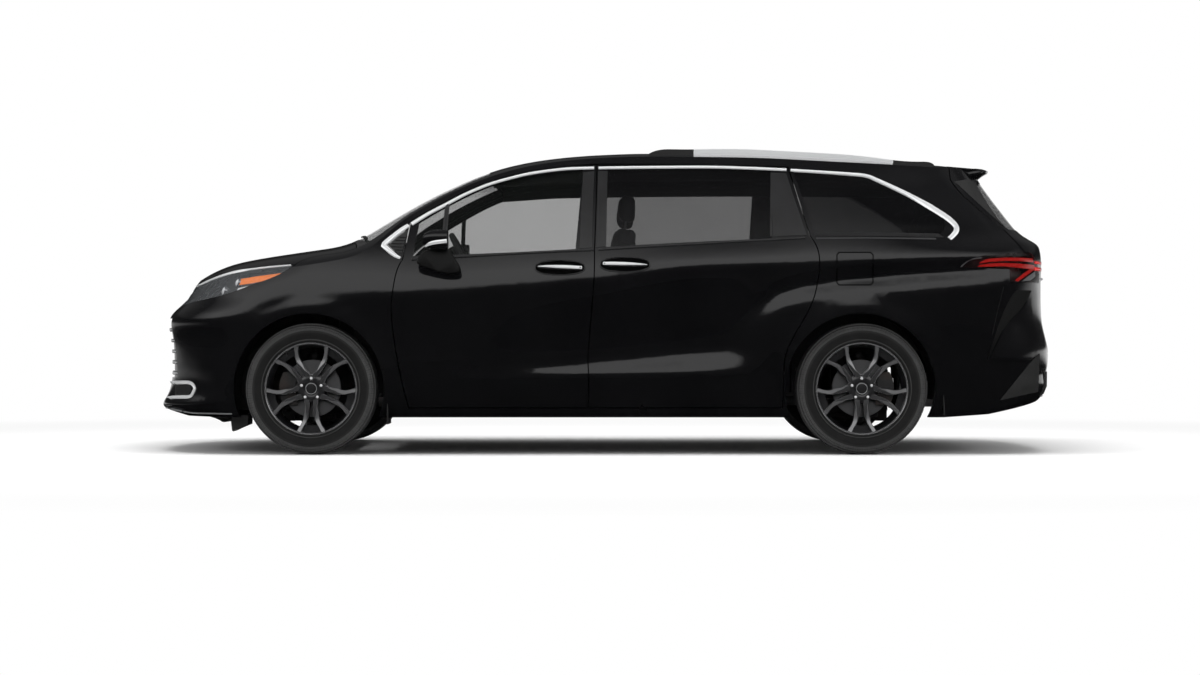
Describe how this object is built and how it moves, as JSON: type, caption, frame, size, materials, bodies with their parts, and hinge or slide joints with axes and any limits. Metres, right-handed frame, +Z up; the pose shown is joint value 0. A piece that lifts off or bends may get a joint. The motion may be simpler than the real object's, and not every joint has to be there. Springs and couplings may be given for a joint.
{
  "type": "minivan",
  "caption": "Black family minivan with hinged front doors, hood, tailgate and fuel flap, steered front wheels, chrome trim, roof rails and three rows of seats.",
  "frame": {"origin": "on the ground under the middle of the vehicle's overall length and width", "axes": "-X forwards, +X to the rear, -Y to the vehicle's left, +Z up"},
  "size_m": [5.1682, 2.264, 1.7248],
  "materials": {
    "paint": "gloss",
    "glass": "gloss",
    "lamp_lens": "gloss",
    "red_lens": "gloss",
    "chrome": "polished",
    "satin_metal": "satin",
    "wheel_alloy": "satin",
    "tyre": "matte",
    "black_plastic": "matte",
    "steel": "satin",
    "seat_leather": "satin"
  },
  "bodies": {
    "vehicle": {"underbody": "steel", "engine": "steel", "front_suspension": "steel", "rear_suspension": "steel", "fuel_tank_and_exhaust": "black_plastic", "roof": "paint", "cowl": "black_plastic", "fender_left": "paint", "fender_right": "paint", "body_side_left": "paint", "body_side_right": "paint", "front_bumper": "paint", "grille": "chrome", "rear_bumper": "paint", "sliding_door_left": "paint", "sliding_door_right": "paint", "fixed_glass": "glass", "sliding_door_glass_left": "glass", "sliding_door_glass_right": "glass", "headlamps": "lamp_lens", "tail_lamps": "red_lens", "roof_rails": "satin_metal", "dashboard": "black_plastic", "seats": "seat_leather"},
    "hood": {"hood": "paint"},
    "tailgate": {"tailgate": "paint", "tailgate_glass": "glass"},
    "front_door_left": {"front_door_left": "paint", "front_door_glass_left": "glass", "mirror_left": "paint"},
    "front_door_right": {"front_door_right": "paint", "front_door_glass_right": "glass", "mirror_right": "paint"},
    "fuel_flap": {"fuel_flap": "paint"},
    "steering_wheel": {"steering_wheel": "black_plastic"},
    "knuckle_left": {"knuckle_left": "steel"},
    "knuckle_right": {"knuckle_right": "steel"},
    "wheel_front_left": {"rim_front_left": "wheel_alloy", "tyre_front_left": "tyre"},
    "wheel_front_right": {"rim_front_right": "wheel_alloy", "tyre_front_right": "tyre"},
    "wheel_rear_left": {"rim_rear_left": "wheel_alloy", "tyre_rear_left": "tyre"},
    "wheel_rear_right": {"rim_rear_right": "wheel_alloy", "tyre_rear_right": "tyre"}
  },
  "joints": [
    {"name": "hood_lift", "type": "hinge", "parent": "vehicle", "child": "hood", "pos_m": [-1.325, 0, 1.205], "axis": [0, 1, 0], "range_deg": [0, 50]},
    {"name": "tailgate_lift", "type": "hinge", "parent": "vehicle", "child": "tailgate", "pos_m": [1.962, 0, 1.656], "axis": [0, -1, 0], "range_deg": [0, 80]},
    {"name": "front_door_left_swing", "type": "hinge", "parent": "vehicle", "child": "front_door_left", "pos_m": [-1.177, -0.979, 0.7], "axis": [0, 0, -1], "range_deg": [0, 65]},
    {"name": "front_door_right_swing", "type": "hinge", "parent": "vehicle", "child": "front_door_right", "pos_m": [-1.177, 0.979, 0.7], "axis": [0, 0, 1], "range_deg": [0, 65]},
    {"name": "fuel_flap_swing", "type": "hinge", "parent": "vehicle", "child": "fuel_flap", "pos_m": [1.296, -0.984, 1.03], "axis": [0, 0, -1], "range_deg": [0, 85]},
    {"name": "steer_left", "type": "hinge", "parent": "vehicle", "child": "knuckle_left", "pos_m": [-1.622, -0.785, 0.366], "axis": [0, 0, 1], "range_deg": [-35, 35]},
    {"name": "steer_right", "type": "hinge", "parent": "vehicle", "child": "knuckle_right", "pos_m": [-1.622, 0.785, 0.366], "axis": [0, 0, 1], "range_deg": [-35, 35]},
    {"name": "steering_wheel_turn", "type": "hinge", "parent": "vehicle", "child": "steering_wheel", "pos_m": [-0.79, -0.37, 1.08], "axis": [0.8829, 0, 0.4695], "range_deg": [-495, 495]},
    {"name": "spin_front_left", "type": "hinge", "parent": "knuckle_left", "child": "wheel_front_left", "pos_m": [-1.622, -0.857, 0.366], "axis": [0, 1, 0], "continuous": true},
    {"name": "spin_front_right", "type": "hinge", "parent": "knuckle_right", "child": "wheel_front_right", "pos_m": [-1.622, 0.857, 0.366], "axis": [0, 1, 0], "continuous": true},
    {"name": "spin_rear_left", "type": "hinge", "parent": "vehicle", "child": "wheel_rear_left", "pos_m": [1.438, -0.857, 0.366], "axis": [0, 1, 0], "continuous": true},
    {"name": "spin_rear_right", "type": "hinge", "parent": "vehicle", "child": "wheel_rear_right", "pos_m": [1.438, 0.857, 0.366], "axis": [0, 1, 0], "continuous": true}
  ],
  "couplings": [
    {"joint": "steer_right", "follows": "steer_left", "ratio": 1},
    {"joint": "steering_wheel_turn", "follows": "steer_left", "ratio": 14}
  ]
}
